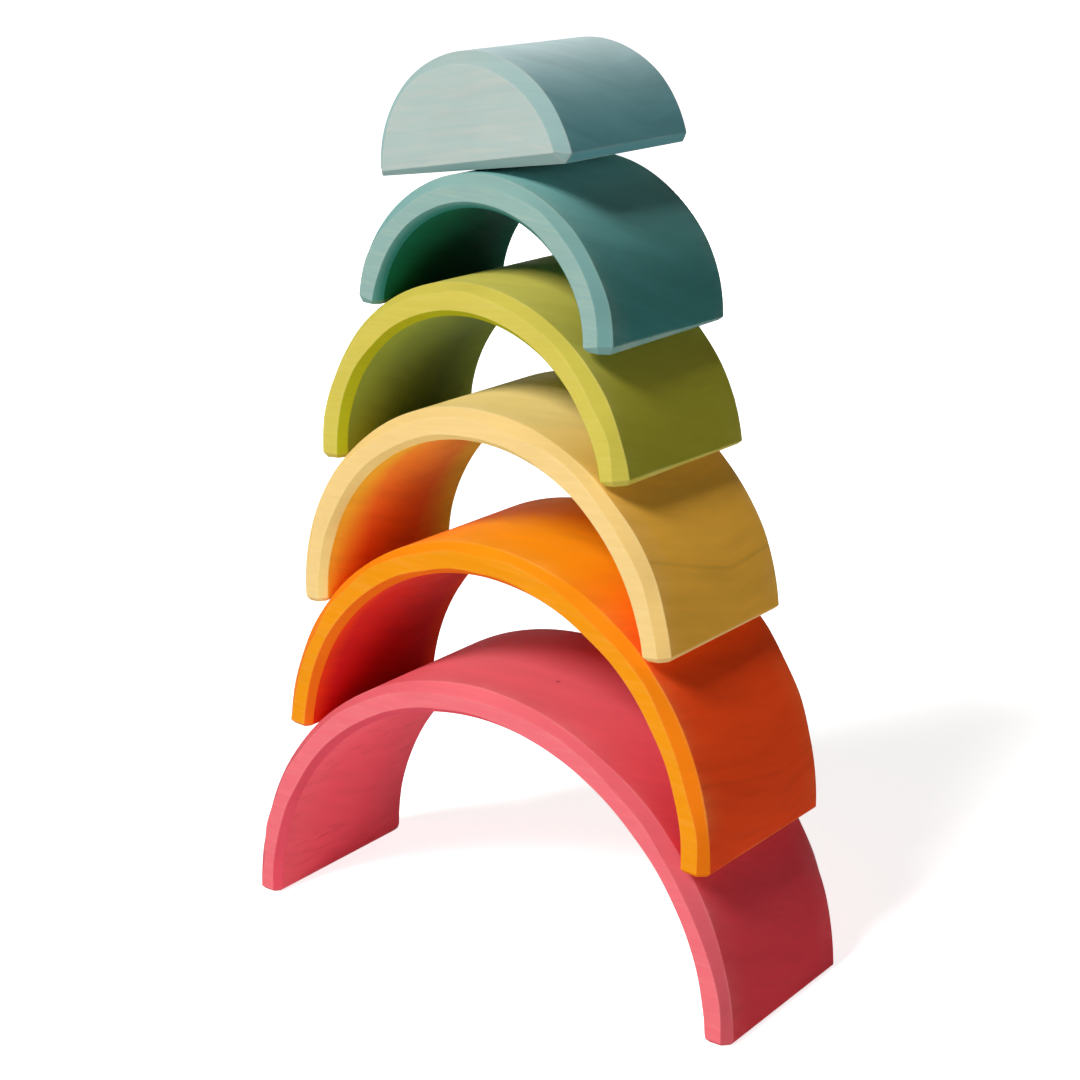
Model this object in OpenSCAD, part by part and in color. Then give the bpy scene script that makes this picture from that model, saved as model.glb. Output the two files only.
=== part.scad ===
// Wooden stacking rainbow: five nesting half-ring arches and a half-round core block,
// stacked as a tower with each arch straddling the crown of the next larger one.
// X runs from foot to foot, Y from the front face to the back face, Z up.
// The origin is on the ground, under the middle of the whole stack.

/* [Rainbow] */
// Outer radius of the largest arch
rainbow_r = 85; // [75:0.5:110]
// Depth of every piece from its front face to its back face
depth = 60; // [40:0.5:90]
// Wall thickness of the arches
wall = 9; // [6:0.25:11]
// Gap left by the saw and the sanding between two nested arches
kerf = 1.75; // [1:0.25:3]
// Gap between the core block and the smallest arch when they are nested
core_gap = 0.8; // [0.4:0.1:3]
// Height of the flat base above the centre of the curves
base_trim = 1.7; // [0:0.1:3]

/* [Edges] */
// Bevel of the outer rims of the arches, measured across the wall
outer_bevel_wall = 2.5; // [0.5:0.1:3]
// Bevel of the outer rims of the arches, measured along the depth
outer_bevel_depth = 3.1; // [0.5:0.1:5]
// Bevel of the inner rims of the arches, measured across the wall
inner_bevel_wall = 1.8; // [0.5:0.1:2.5]
// Bevel of the inner rims of the arches, measured along the depth
inner_bevel_depth = 2.5; // [0.5:0.1:5]
// Bevel round the foot of each arch leg
foot_bevel = 1.2; // [0.4:0.1:1.8]
// Bevel of the curved rims of the core block, measured along the radius
core_rim_radial = 2.9; // [0.5:0.1:5]
// Bevel of the curved rims of the core block, measured along the depth
core_rim_depth = 3.3; // [0.5:0.1:5]
// Bevel round the flat base of the core block
core_base_bevel = 2.5; // [0.5:0.1:5]

/* [Stack] */
// Clearance between a piece and the crown that carries it
seat_gap = 0.3; // [0.1:0.05:0.6]
// Lean of the orange arch to the right, in degrees
orange_lean = 4; // [-8:0.1:8]
// Lean of the yellow arch to the right, in degrees
yellow_lean = -3; // [-8:0.1:8]
// Lean of the green arch to the right, in degrees
green_lean = -4.3; // [-8:0.1:8]
// Lean of the teal arch to the right, in degrees
teal_lean = 3.9; // [-8:0.1:8]
// Lean of the core block to the right, in degrees
core_lean = -7.2; // [-10:0.1:10]
// Turn of the orange arch seen from above, in degrees
orange_turn = -0.9; // [-4:0.1:4]
// Turn of the yellow arch seen from above, in degrees
yellow_turn = -0.3; // [-4:0.1:4]
// Turn of the green arch seen from above, in degrees
green_turn = -1; // [-4:0.1:4]
// Turn of the teal arch seen from above, in degrees
teal_turn = 0.9; // [-4:0.1:4]
// Turn of the core block seen from above, in degrees
core_turn = -0.3; // [-4:0.1:4]
// Shift of the orange arch towards the back, from the arch below
orange_slide = -0.2; // [-10:0.1:10]
// Shift of the yellow arch towards the back, from the arch below
yellow_slide = 0.1; // [-10:0.1:10]
// Shift of the green arch towards the back, from the arch below
green_slide = 2; // [-10:0.1:10]
// Shift of the teal arch towards the back, from the arch below
teal_slide = 1; // [-10:0.1:10]
// Shift of the core block towards the back, from the arch below
core_slide = 2.8; // [-10:0.1:10]
// Shift of the core block to the right, along its flat base
core_shift = 2; // [-8:0.1:8]

/* [Hidden] */
$fn = 180;
NODES = ["pink_arch", "orange_arch", "yellow_arch", "green_arch", "teal_arch", "blue_half_round"];

// Places of the arches in the stack, counted up from the ground in the order of the names
function place(name) = search([name], NODES)[0];
PINK = place("pink_arch");
ORANGE = place("orange_arch");
YELLOW = place("yellow_arch");
GREEN = place("green_arch");
TEAL = place("teal_arch");

// Lean, turn and shift of each arch, by its place
lean = [0, orange_lean, yellow_lean, green_lean, teal_lean];
turn = [0, orange_turn, yellow_turn, green_turn, teal_turn];
slide = [0, orange_slide, yellow_slide, green_slide, teal_slide];

// Radii of the arch at place k, and of the core block
function outer_r(k) = rainbow_r - k * (wall + kerf);
function inner_r(k) = outer_r(k) - wall;
core_r = inner_r(TEAL) - core_gap;

// Half the width that a circle of radius r has where the flat base cuts it
function half_chord(r) = sqrt(r * r - base_trim * base_trim);

// Direction in which a piece that leans by an angle points up
function up(angle) = [sin(angle), 0, cos(angle)];
function sideways(angle) = [cos(angle), 0, -sin(angle)];

// Half the clear width between the feet of the arch at place k, seen along the arch below:
// an arch that is turned against the one below reaches in with the corners of its feet
function twist(k) = abs(turn[k] - turn[k - 1]);
function clear_half(k) = inner_r(k) * cos(twist(k)) - depth / 2 * sin(twist(k));

// Height of the base of the arch at place k over the centre of the crown that carries it.
// The crown meets the upper edge, the lower edge or the flat of the bevel inside the feet.
function seat_height(k) =
    let (
        crown = outer_r(k - 1) + seat_gap,
        half = clear_half(k),
        on_upper_edge = sqrt(crown * crown - half * half + foot_bevel * foot_bevel) - foot_bevel,
        on_lower_edge = sqrt(crown * crown - (half + foot_bevel) * (half + foot_bevel)),
        on_flat = sqrt(2) * crown - half - foot_bevel
    )
    abs(on_flat - half) <= foot_bevel ? on_flat : max(on_upper_edge, on_lower_edge);

// Middle of the base of the arch at place k, and the centre of its curves
function base_at(k) =
    k == PINK ? [0, 0, 0] : centre_at(k - 1) + seat_height(k) * up(lean[k]) + [0, slide[k], 0];
function centre_at(k) = base_at(k) - base_trim * up(lean[k]);

// Middle of the base of the core block. Leaning and turned against the arch that carries it,
// the block comes nearest to the crown at one end, and it is raised until that end is clear.
core_raise = depth / 2 * abs(sin(core_lean) * sin(core_turn - teal_turn));
core_at = centre_at(TEAL) + (outer_r(TEAL) + seat_gap + core_raise) * up(core_lean)
    + core_shift * sideways(core_lean) + [0, core_slide, 0];

// Middles of the pieces front to back, in stack order, and how far each reaches from there
middles = concat([for (k = [PINK : TEAL]) base_at(k)[1]], core_at[1]);
function half_reach(face_r, angle) = depth / 2 * cos(angle) + face_r * abs(sin(angle));
reaches = concat(
    [for (k = [PINK : TEAL]) half_reach(outer_r(k) - outer_bevel_wall, turn[k])],
    half_reach(core_r - core_rim_radial, core_turn)
);

// The stack is centred front to back over the origin
stack_middle = (min(middles - reaches) + max(middles + reaches)) / 2;

// Section of an arch wall: radius across, depth along, with bevelled rims
function arch_section(k) =
    let (near = -depth / 2, far = depth / 2, inside = inner_r(k), outside = outer_r(k))
    [
        [inside + inner_bevel_wall, near],
        [outside - outer_bevel_wall, near],
        [outside, near + outer_bevel_depth],
        [outside, far - outer_bevel_depth],
        [outside - outer_bevel_wall, far],
        [inside + inner_bevel_wall, far],
        [inside, far - inner_bevel_depth],
        [inside, near + inner_bevel_depth]
    ];

// Section of the core block from its axis out to the curved face
core_section = [
    [0, -depth / 2],
    [core_r - core_rim_radial, -depth / 2],
    [core_r, -depth / 2 + core_rim_depth],
    [core_r, depth / 2 - core_rim_depth],
    [core_r - core_rim_radial, depth / 2],
    [0, depth / 2]
];

// Outline of a section where it stands on the flat base
function footprint(section) = [for (point = section) [half_chord(point[0]), point[1]]];

// Half-round footprint points that lie off the axis, going round both sides of the block
core_right = [for (i = [1 : len(core_section) - 2])
    [half_chord(core_section[i][0]), core_section[i][1]]];
core_left = [for (i = [len(core_right) - 1 : -1 : 0]) [-core_right[i][0], core_right[i][1]]];
core_footprint = concat(core_right, core_left);

// A section swept half round the depth axis and planed flat at the base
module half_round(section) {
    plane = 2 * rainbow_r + depth;
    difference() {
        translate([0, 0, -base_trim])
            rotate([90, 0, 0])
                rotate_extrude(angle = 180)
                    polygon(section);
        translate([0, 0, -plane / 2])
            cube(plane, center = true);
    }
}

// Slanted blocks along an outline on the base, which cut a bevel all round it.
// The outline runs anticlockwise. The blocks run on past its corners, so that the cuts meet there.
module base_bevel(outline, bevel) {
    block = 4 * bevel;
    for (i = [0 : len(outline) - 1]) {
        from = outline[i];
        to = outline[(i + 1) % len(outline)];
        along = to - from;
        translate([(from[0] + to[0]) / 2, (from[1] + to[1]) / 2, 0])
            rotate([0, 0, atan2(along[1], along[0])])
                translate([0, bevel / 2, bevel / 2])
                    rotate([45, 0, 0])
                        translate([0, -block / 2, 0])
                            cube([norm(along) + 2 * block, block, block], center = true);
    }
}

// Arch of place k, standing on its own base
module arch(k) {
    difference() {
        half_round(arch_section(k));
        for (side = [0, 1])
            mirror([side, 0, 0])
                base_bevel(footprint(arch_section(k)), foot_bevel);
    }
}

// A piece moved to its seat: its base at a point, leaning and turned
module seated(point, lean_angle, turn_angle) {
    translate(point - [0, stack_middle, 0])
        rotate([0, 0, turn_angle])
            rotate([0, lean_angle, 0])
                children();
}

module arch_in_stack(k) {
    seated(base_at(k), lean[k], turn[k])
        arch(k);
}

module pink_arch() {
    color("#ee707c")
        arch_in_stack(PINK);
}

module orange_arch() {
    color("#f2961c")
        arch_in_stack(ORANGE);
}

module yellow_arch() {
    color("#f5d488")
        arch_in_stack(YELLOW);
}

module green_arch() {
    color("#d0c252")
        arch_in_stack(GREEN);
}

module teal_arch() {
    color("#86b4ab")
        arch_in_stack(TEAL);
}

module blue_half_round() {
    color("#b2cac9")
        seated(core_at, core_lean, core_turn)
            difference() {
                half_round(core_section);
                base_bevel(core_footprint, core_base_bevel);
            }
}

pink_arch();
orange_arch();
yellow_arch();
green_arch();
teal_arch();
blue_half_round();
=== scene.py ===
"""Looks of the wooden stacking rainbow: five stained arches and a core block, stacked as a tower."""

from __future__ import annotations

import logging
import math
from dataclasses import dataclass, field
from enum import Enum, IntEnum
from random import Random

import bmesh
import bpy
from mathutils import Euler, Matrix, Vector


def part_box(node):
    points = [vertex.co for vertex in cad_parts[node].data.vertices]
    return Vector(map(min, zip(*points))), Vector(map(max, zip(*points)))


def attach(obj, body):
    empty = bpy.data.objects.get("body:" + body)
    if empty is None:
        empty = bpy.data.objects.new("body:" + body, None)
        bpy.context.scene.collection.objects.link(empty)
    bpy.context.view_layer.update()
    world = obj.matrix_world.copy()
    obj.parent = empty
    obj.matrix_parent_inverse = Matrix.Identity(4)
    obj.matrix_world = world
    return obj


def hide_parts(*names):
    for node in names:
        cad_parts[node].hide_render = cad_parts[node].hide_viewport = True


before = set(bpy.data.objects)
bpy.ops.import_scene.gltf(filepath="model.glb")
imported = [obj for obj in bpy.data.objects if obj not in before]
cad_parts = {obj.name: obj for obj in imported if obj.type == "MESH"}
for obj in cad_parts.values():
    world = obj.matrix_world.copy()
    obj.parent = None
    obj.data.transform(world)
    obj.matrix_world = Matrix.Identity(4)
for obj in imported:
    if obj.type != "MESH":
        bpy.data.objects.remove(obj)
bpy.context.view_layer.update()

LOG = logging.getLogger("rainbow")
MM = 0.001
MATH = "ShaderNodeMath"
VECTOR = "ShaderNodeVectorMath"
Wire = bpy.types.NodeSocket
Pair = tuple[float, float]
Triple = tuple[float, float, float]
Colour = tuple[float, float, float, float]
Point = tuple[Vector, dict]


class Place(IntEnum):
    """Places of the arches in the stack, counted up from the ground."""

    PINK = 0
    ORANGE = 1
    YELLOW = 2
    GREEN = 3
    TEAL = 4


class Mark(str, Enum):
    """Point attributes that tell the stain which part of a piece it is on."""

    EDGE = "edge"
    FACE = "face"
    INSIDE = "inside"
    END = "end"


def linear(code: str) -> Colour:
    """Turns an sRGB hex code into the linear colour that shaders take, by the standard's own constants.

    Args:
        code: Six hex digits, with or without a leading hash.

    Returns:
        Linear red, green and blue with an alpha of one.
    """
    digits = code.lstrip("#")
    parts = [int(digits[i:i + 2], 16) / 255 for i in (0, 2, 4)]
    red, green, blue = (c / 12.92 if c <= 0.04045 else ((c + 0.055) / 1.055) ** 2.4 for c in parts)
    return red, green, blue, 1.0


def add(tree: bpy.types.NodeTree, kind: str, inputs: list | tuple | dict = (), out: int | str = 0,
        **settings: object) -> Wire | None:
    """Adds a node to a tree, with its settings, constants and links.

    Args:
        tree: The shader or geometry tree.
        kind: The node's type name.
        inputs: Constants and output sockets in the order of the inputs, or by their name or number.
        out: Name or number of the output to hand back.
        settings: Properties of the node itself.

    Returns:
        The chosen output of the new node, or None where it has no outputs.
    """
    node = tree.nodes.new(kind)
    for name, value in settings.items():
        setattr(node, name, value)
    for key, value in inputs.items() if isinstance(inputs, dict) else enumerate(inputs):
        if isinstance(value, Wire):
            tree.links.new(value, node.inputs[key])
        else:
            node.inputs[key].default_value = value
    return node.outputs[out] if node.outputs else None


@dataclass(frozen=True)
class Seat:
    """Where a piece stands: the middle of its flat base in metres, its lean and its turn in degrees."""

    base: Vector
    lean: float
    turn: float

    def euler(self) -> Euler:
        """Gives the piece's rotation, lean first and then turn."""
        return Euler((0.0, math.radians(self.lean), math.radians(self.turn)))

    def matrix(self) -> Matrix:
        """Gives the transform from the piece's own frame to the stack's."""
        return Matrix.Translation(self.base) @ self.euler().to_matrix().to_4x4()


@dataclass(frozen=True)
class Stack:
    """Sizes of the rainbow in millimetres and the way its pieces are stacked, in degrees and millimetres."""

    rainbow_r: float = 85.0
    depth: float = 60.0
    wall: float = 9.0
    kerf: float = 1.75
    core_gap: float = 0.8
    base_trim: float = 1.7
    outer_bevel: Pair = (2.5, 3.1)
    inner_bevel: Pair = (1.8, 2.5)
    foot_bevel: float = 1.2
    core_rim: Pair = (2.9, 3.3)
    core_base_bevel: float = 2.5
    seat_gap: float = 0.3
    leans: tuple[float, ...] = (0.0, 4.0, -3.0, -4.3, 3.9)
    turns: tuple[float, ...] = (0.0, -0.9, -0.3, -1.0, 0.9)
    slides: tuple[float, ...] = (0.0, -0.2, 0.1, 2.0, 1.0)
    core_lean: float = -7.2
    core_turn: float = -0.3
    core_slide: float = 2.8
    core_shift: float = 2.0

    def outer_r(self, place: int) -> float:
        """Gives the outer radius of the arch at a place."""
        return self.rainbow_r - place * (self.wall + self.kerf)

    def core_r(self) -> float:
        """Gives the radius of the core block."""
        return self.outer_r(Place.TEAL) - self.wall - self.core_gap

    def seat_height(self, place: int) -> float:
        """Works out how high an arch sits over the centre of the crown that carries it.

        Args:
            place: The arch's place in the stack.

        Returns:
            The height of its base over that centre, along its own lean.
        """
        twist = math.radians(abs(self.turns[place] - self.turns[place - 1]))
        crown = self.outer_r(place - 1) + self.seat_gap
        inner = self.outer_r(place) - self.wall
        half = inner * math.cos(twist) - self.depth / 2 * math.sin(twist)
        bevel = self.foot_bevel
        on_flat = math.sqrt(2) * crown - half - bevel
        if abs(on_flat - half) <= bevel:
            return on_flat
        on_upper_edge = math.sqrt(crown ** 2 - half ** 2 + bevel ** 2) - bevel
        on_lower_edge = math.sqrt(crown ** 2 - (half + bevel) ** 2)
        return max(on_upper_edge, on_lower_edge)

    def seats(self) -> list[Seat]:
        """Works out where all six pieces stand, from the ground up.

        Returns:
            The seats of the five arches and then that of the core block, in metres.
        """
        bases = [Vector()]
        leans = [math.radians(a) for a in (*self.leans, self.core_lean)]
        ups = [Vector((math.sin(a), 0.0, math.cos(a))) for a in leans]
        for place in list(Place)[1:]:
            centre = bases[-1] - self.base_trim * ups[place - 1]
            bases.append(centre + self.seat_height(place) * ups[place] + Vector((0, self.slides[place], 0)))
        twist = math.radians(self.core_turn - self.turns[Place.TEAL])
        tip = self.depth / 2 * abs(math.sin(leans[-1]) * math.sin(twist))
        rise = self.outer_r(Place.TEAL) + self.seat_gap + tip
        along = Vector((math.cos(leans[-1]), 0.0, -math.sin(leans[-1])))
        centre = bases[-1] - self.base_trim * ups[Place.TEAL]
        bases.append(centre + rise * ups[-1] + self.core_shift * along + Vector((0, self.core_slide, 0)))
        turns = (*self.turns, self.core_turn)
        radii = [self.outer_r(p) - self.outer_bevel[0] for p in Place] + [self.core_r() - self.core_rim[0]]
        reaches = [self.depth / 2 * math.cos(math.radians(t)) + r * abs(math.sin(math.radians(t)))
                   for t, r in zip(turns, radii)]
        ends = [(b.y - h, b.y + h) for b, h in zip(bases, reaches)]
        middle = Vector((0, (min(e[0] for e in ends) + max(e[1] for e in ends)) / 2, 0))
        return [Seat((b - middle) * MM, lean, turn)
                for b, lean, turn in zip(bases, (*self.leans, self.core_lean), turns)]


STACK = Stack()


def settle(piece: bpy.types.Object, modifier: bpy.types.Modifier) -> bpy.types.Object:
    """Turns what a modifier makes of a piece into the piece's own plain mesh.

    Args:
        piece: The piece, linked to the scene.
        modifier: Its only modifier, which is removed.

    Returns:
        The same piece.
    """
    graph = bpy.context.evaluated_depsgraph_get()
    mesh = bpy.data.meshes.new_from_object(piece.evaluated_get(graph), preserve_all_data_layers=True,
                                           depsgraph=graph)
    piece.modifiers.remove(modifier)
    start, piece.data = piece.data, mesh
    bpy.data.meshes.remove(start)
    mesh.name = piece.name
    return piece


def claim(piece: bpy.types.Object, node: str, body: str) -> bpy.types.Object:
    """Puts a finished piece in place of its CAD node, on that node's body.

    Args:
        piece: The finished piece.
        node: The CAD node that it stands for.
        body: The body that carries it.

    Returns:
        The same piece.
    """
    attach(piece, body)
    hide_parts(node)
    return piece


def report(piece: bpy.types.Object, node: str) -> None:
    """Logs a finished piece, and how near its box comes to that of its CAD node.

    Args:
        piece: The finished piece.
        node: The CAD node that it stands for.
    """
    spots = [v.co for v in piece.data.vertices]
    drift = max(abs(pick(spot[axis] for spot in spots) - corner[axis])
                for pick, corner in zip((min, max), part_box(node)) for axis in range(3))
    LOG.info("%s: %d faces, its box within %.2f mm of the solid's",
             piece.name, len(piece.data.polygons), drift / MM)


@dataclass(frozen=True)
class Row:
    """How one row of a swept arch lies: fields of the tree, each with a value for every row."""

    inset: Wire
    height: Wire
    foot_edge: Wire
    under: Wire
    share: Wire


@dataclass
class ArchTree:
    """Geometry Nodes tree of a bevelled half-ring, swept row by row from the right foot to the left one.

    The section has eight corners, and each corner has two loops on either side of it, so that the
    smoothing rounds the edge only a little. A row near a foot is set in, which bevels the foot.
    """

    arc_rows: int = 96
    smoothing: int = 2
    tree: bpy.types.NodeTree = field(init=False)
    sockets: dict[str, str] = field(init=False, default_factory=dict)
    given: dict[str, Wire] = field(init=False, default_factory=dict)

    # Corners of the section, which come in pairs: on the front face, the outer curve, the back face and
    # the inner curve, so that half-way round the faces and the curves repeat
    CORNERS = 8
    HALF = 4.0
    # Loops at a corner, and rows in a foot, of which those up to an edge are under its bevel
    LOOPS = 4
    FOOT_ROWS = 6
    FOOT_EDGE = 3.5
    # Rims are counted inner front, outer front, outer back and inner back: the middle of these numbers
    MID_RIM = 1.5
    # Corner numbers as a middle and a reach: those of the outer rims, and of these the ones on the curve
    OUTER_RIMS = (2.5, 1.6)
    CURVE_RIMS = (2.5, 0.6)
    # The inner curve is one wall, between two corners on either side of a middle
    INNER_WALL = 6.0
    INNER_EDGES = 6.5
    # Corners past this number are on the inner curve, where no hand wears them
    INNER_FROM = 5.5
    # The inside mark steps down across the inner bevels: what the wall gives of it, and what the edge gives
    INSIDE_SHARES = (0.7, 0.3)
    # A bevel wanders less at its edge on the curve, and less on the inner rims
    CURVE_WANDER = 0.45
    INNER_WANDER = 0.5
    # Wear of the rims, where the outer curve's edges have the full amount
    LEAST_WEAR = 0.4
    SOCKETS = {
        "Outer Radius": "Float", "Wall": "Float", "Depth": "Float", "Base Trim": "Float",
        "Outer Bevel": "Vector", "Inner Bevel": "Vector", "Foot Bevel": "Float", "Foot Rise": "Float",
        "Back Rise": "Float", "Near Loop": "Float", "Far Loop": "Float", "Facets": "Float",
        "Facet Swing": "Float", "Seed": "Float", "Seat": "Vector", "Seat Turn": "Vector", "Stain": "Material",
    }

    def __post_init__(self) -> None:
        """Makes the tree's named inputs and then its nodes."""
        self.tree = bpy.data.node_groups.new("bevelled_arch", "GeometryNodeTree")
        for name, kind in self.SOCKETS.items():
            socket = self.tree.interface.new_socket(name, in_out="INPUT", socket_type="NodeSocket" + kind)
            self.sockets[name] = socket.identifier
        self.tree.interface.new_socket("Arch", in_out="OUTPUT", socket_type="NodeSocketGeometry")
        group = add(self.tree, "NodeGroupInput").node
        self.given.update((name, group.outputs[name]) for name in self.SOCKETS)
        self._build()

    def _section(self) -> tuple[Wire, Wire]:
        """Makes the corners of the section, with the radius across and the depth along.

        Returns:
            Eight points in order round the section, and the field of its sharp corners.
        """
        t, given = self.tree, self.given
        index = add(t, "GeometryNodeInputIndex")
        after = add(t, MATH, [index, 1.0], operation="ADD")
        turned = add(t, MATH, [after, float(self.CORNERS)], operation="FLOORED_MODULO")
        rim = add(t, MATH, [add(t, MATH, [turned, 2.0], operation="DIVIDE")], operation="FLOOR")
        spread = add(t, MATH, [add(t, MATH, [rim, self.MID_RIM], operation="SUBTRACT")], operation="ABSOLUTE")
        outer = add(t, MATH, [spread, 1.0], operation="LESS_THAN")
        back = add(t, MATH, [rim, self.MID_RIM], operation="GREATER_THAN")
        sides = add(t, VECTOR, [add(t, "ShaderNodeCombineXYZ", [outer, back]), (2.0, 2.0, 0.0),
                                (-1.0, -1.0, 0.0)], operation="MULTIPLY_ADD")
        half = add(t, VECTOR, [add(t, "ShaderNodeCombineXYZ", [given["Wall"], given["Depth"]]),
                               (0.5, 0.5, 0.0)], operation="MULTIPLY")
        half_wall = add(t, MATH, [given["Wall"], 0.5], operation="MULTIPLY")
        middle = add(t, MATH, [given["Outer Radius"], half_wall], operation="SUBTRACT")
        sharp = add(t, VECTOR, [sides, half, add(t, "ShaderNodeCombineXYZ", [middle])],
                    operation="MULTIPLY_ADD")
        on_face = self._on_face(index)
        on_side = add(t, MATH, [1.0, on_face], operation="SUBTRACT")
        bevel = add(t, "ShaderNodeMix", {0: outer, 4: given["Inner Bevel"], 5: given["Outer Bevel"]}, 1,
                    data_type="VECTOR")
        along = add(t, "ShaderNodeCombineXYZ", [on_face, on_side])
        cut = add(t, VECTOR, [add(t, VECTOR, [sides, bevel], operation="MULTIPLY"), along],
                  operation="MULTIPLY")
        corner = add(t, VECTOR, [sharp, cut], operation="SUBTRACT")
        return add(t, "GeometryNodePoints", [self.CORNERS, corner]), sharp

    def _on_face(self, corner: Wire) -> Wire:
        """Tells the corners on the front and back faces, which come in pairs, from those on the curves."""
        pair = add(self.tree, MATH, [corner, self.HALF], operation="FLOORED_MODULO")
        return add(self.tree, MATH, [pair, 2.0], operation="LESS_THAN")

    def _outer(self, corner: Wire) -> Wire:
        """Tells the corners of the outer rims from those of the inner ones."""
        return add(self.tree, MATH, [corner, *self.OUTER_RIMS], operation="COMPARE")

    def _sides(self, loop: Wire) -> tuple[Wire, Wire]:
        """Tells which loops come before their corner, and which lie far from it.

        Args:
            loop: The loop's number at its corner.

        Returns:
            Whether it comes before the corner, and whether it lies far from it.
        """
        t = self.tree
        before = add(t, MATH, [loop, 2.0], operation="LESS_THAN")
        spread = add(t, MATH, [add(t, MATH, [loop, 1.5], operation="SUBTRACT")], operation="ABSOLUTE")
        return before, add(t, MATH, [spread, 1.0], operation="GREATER_THAN")

    def _row(self, ring: Wire, last: int) -> Row:
        """Works out how a row lies, from its number.

        Args:
            ring: The row's number, from the right foot.
            last: The number of the last row.

        Returns:
            How far the row is set in, its height over the base if it is in a foot, whether it is beside an
            edge of the foot, whether it is below the upper one, and its share of the way round the arc.
        """
        t, given = self.tree, self.given
        other = add(t, MATH, [float(last), ring], operation="SUBTRACT")
        nearest = add(t, MATH, [ring, other], operation="MINIMUM")
        capped = add(t, MATH, [nearest, float(self.FOOT_ROWS - 1)], operation="MINIMUM")
        bevel, near, far = given["Foot Bevel"], given["Near Loop"], given["Far Loop"]
        slant = add(t, MATH, [near, math.sqrt(0.5)], operation="MULTIPLY")
        below = add(t, MATH, [bevel, slant], operation="SUBTRACT")
        rows = [
            (add(t, MATH, [bevel, far], operation="ADD"), 0.0, 0.0),
            (add(t, MATH, [bevel, near], operation="ADD"), 0.0, 1.0),
            (below, slant, 1.0),
            (slant, below, 1.0),
            (0.0, add(t, MATH, [bevel, near], operation="ADD"), 1.0),
            (0.0, add(t, MATH, [bevel, far], operation="ADD"), 0.0),
        ]
        switch = add(t, "GeometryNodeIndexSwitch", [capped], data_type="VECTOR").node
        for number, row in enumerate(rows):
            if number + 1 >= len(switch.inputs) - 1:
                switch.index_switch_items.new()
            t.links.new(add(t, "ShaderNodeCombineXYZ", list(row)), switch.inputs[number + 1])
        inset, height, foot_edge = add(t, "ShaderNodeSeparateXYZ", [switch.outputs[0]]).node.outputs
        arc_start = float(self.FOOT_ROWS - 1)
        passed = add(t, MATH, [ring, arc_start], operation="SUBTRACT")
        share = add(t, MATH, [passed, last - 2 * arc_start], operation="DIVIDE", use_clamp=True)
        under = add(t, MATH, [capped, self.FOOT_EDGE], operation="LESS_THAN")
        return Row(inset, height, foot_edge, under, share)

    def _swing(self, corner: Wire, share: Wire) -> Wire:
        """Makes the bevels wander as a hand does at the sander: straight passes between uneven knots.

        Args:
            corner: The corner's number.
            share: The share of the way round the arc.

        Returns:
            What the bevel's size is multiplied by.
        """
        t, given = self.tree, self.given
        along = add(t, MATH, [share, given["Facets"]], operation="MULTIPLY")
        knot = add(t, MATH, [along], operation="FLOOR")
        between = add(t, MATH, [along], operation="FRACT")
        here = add(t, "ShaderNodeCombineXYZ", [knot, corner, given["Seed"]])
        there = add(t, VECTOR, [here, (1.0, 0.0, 0.0)], operation="ADD")
        draws = [add(t, "ShaderNodeTexWhiteNoise", {"Vector": v}, noise_dimensions="3D") for v in (here, there)]
        draw = add(t, "ShaderNodeMix", {0: between, 2: draws[0], 3: draws[1]}, data_type="FLOAT")
        even = add(t, MATH, [draw, 2.0, -1.0], operation="MULTIPLY_ADD")
        reach = given["Facet Swing"]
        parts = ((self._on_face(corner), self.CURVE_WANDER), (self._outer(corner), self.INNER_WANDER))
        for whole, least in parts:
            part = add(t, MATH, [whole, 1.0 - least, least], operation="MULTIPLY_ADD")
            reach = add(t, MATH, [reach, part], operation="MULTIPLY")
        return add(t, MATH, [even, reach, 1.0], operation="MULTIPLY_ADD")

    def _spot(self, corner: Wire, loop: Wire, row: Row) -> tuple[Wire, Wire]:
        """Finds where a loop lies in its row's section.

        Args:
            corner: The number of the corner that the loop belongs to.
            loop: Its number at that corner.
            row: How the row lies.

        Returns:
            The loop's radius and its place along the depth.
        """
        t, given = self.tree, self.given
        points, sharp_field = self._section()
        place = add(t, "GeometryNodeInputPosition")
        found = []
        for shift, value in ((0, place), (self.CORNERS - 1, place), (1, place), (0, sharp_field)):
            number = add(t, MATH, [add(t, MATH, [corner, float(shift)], operation="ADD"),
                                   float(self.CORNERS)], operation="FLOORED_MODULO")
            sample = add(t, "GeometryNodeSampleIndex", {"Geometry": points, "Index": number},
                         data_type="FLOAT_VECTOR")
            t.links.new(value, sample.node.inputs["Value"])
            found.append(sample)
        here, before, after, sharp = found
        arriving = add(t, VECTOR, [add(t, VECTOR, [here, before], operation="SUBTRACT")], operation="NORMALIZE")
        leaving = add(t, VECTOR, [add(t, VECTOR, [after, here], operation="SUBTRACT")], operation="NORMALIZE")
        both = add(t, VECTOR, [arriving, leaving], operation="ADD")
        inward = add(t, VECTOR, [(0.0, 0.0, 1.0), both], operation="CROSS_PRODUCT")
        alike = add(t, VECTOR, [arriving, leaving], "Value", operation="DOT_PRODUCT")
        inset_by = add(t, MATH, [row.inset, add(t, MATH, [alike, 1.0], operation="ADD")], operation="DIVIDE")

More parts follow.
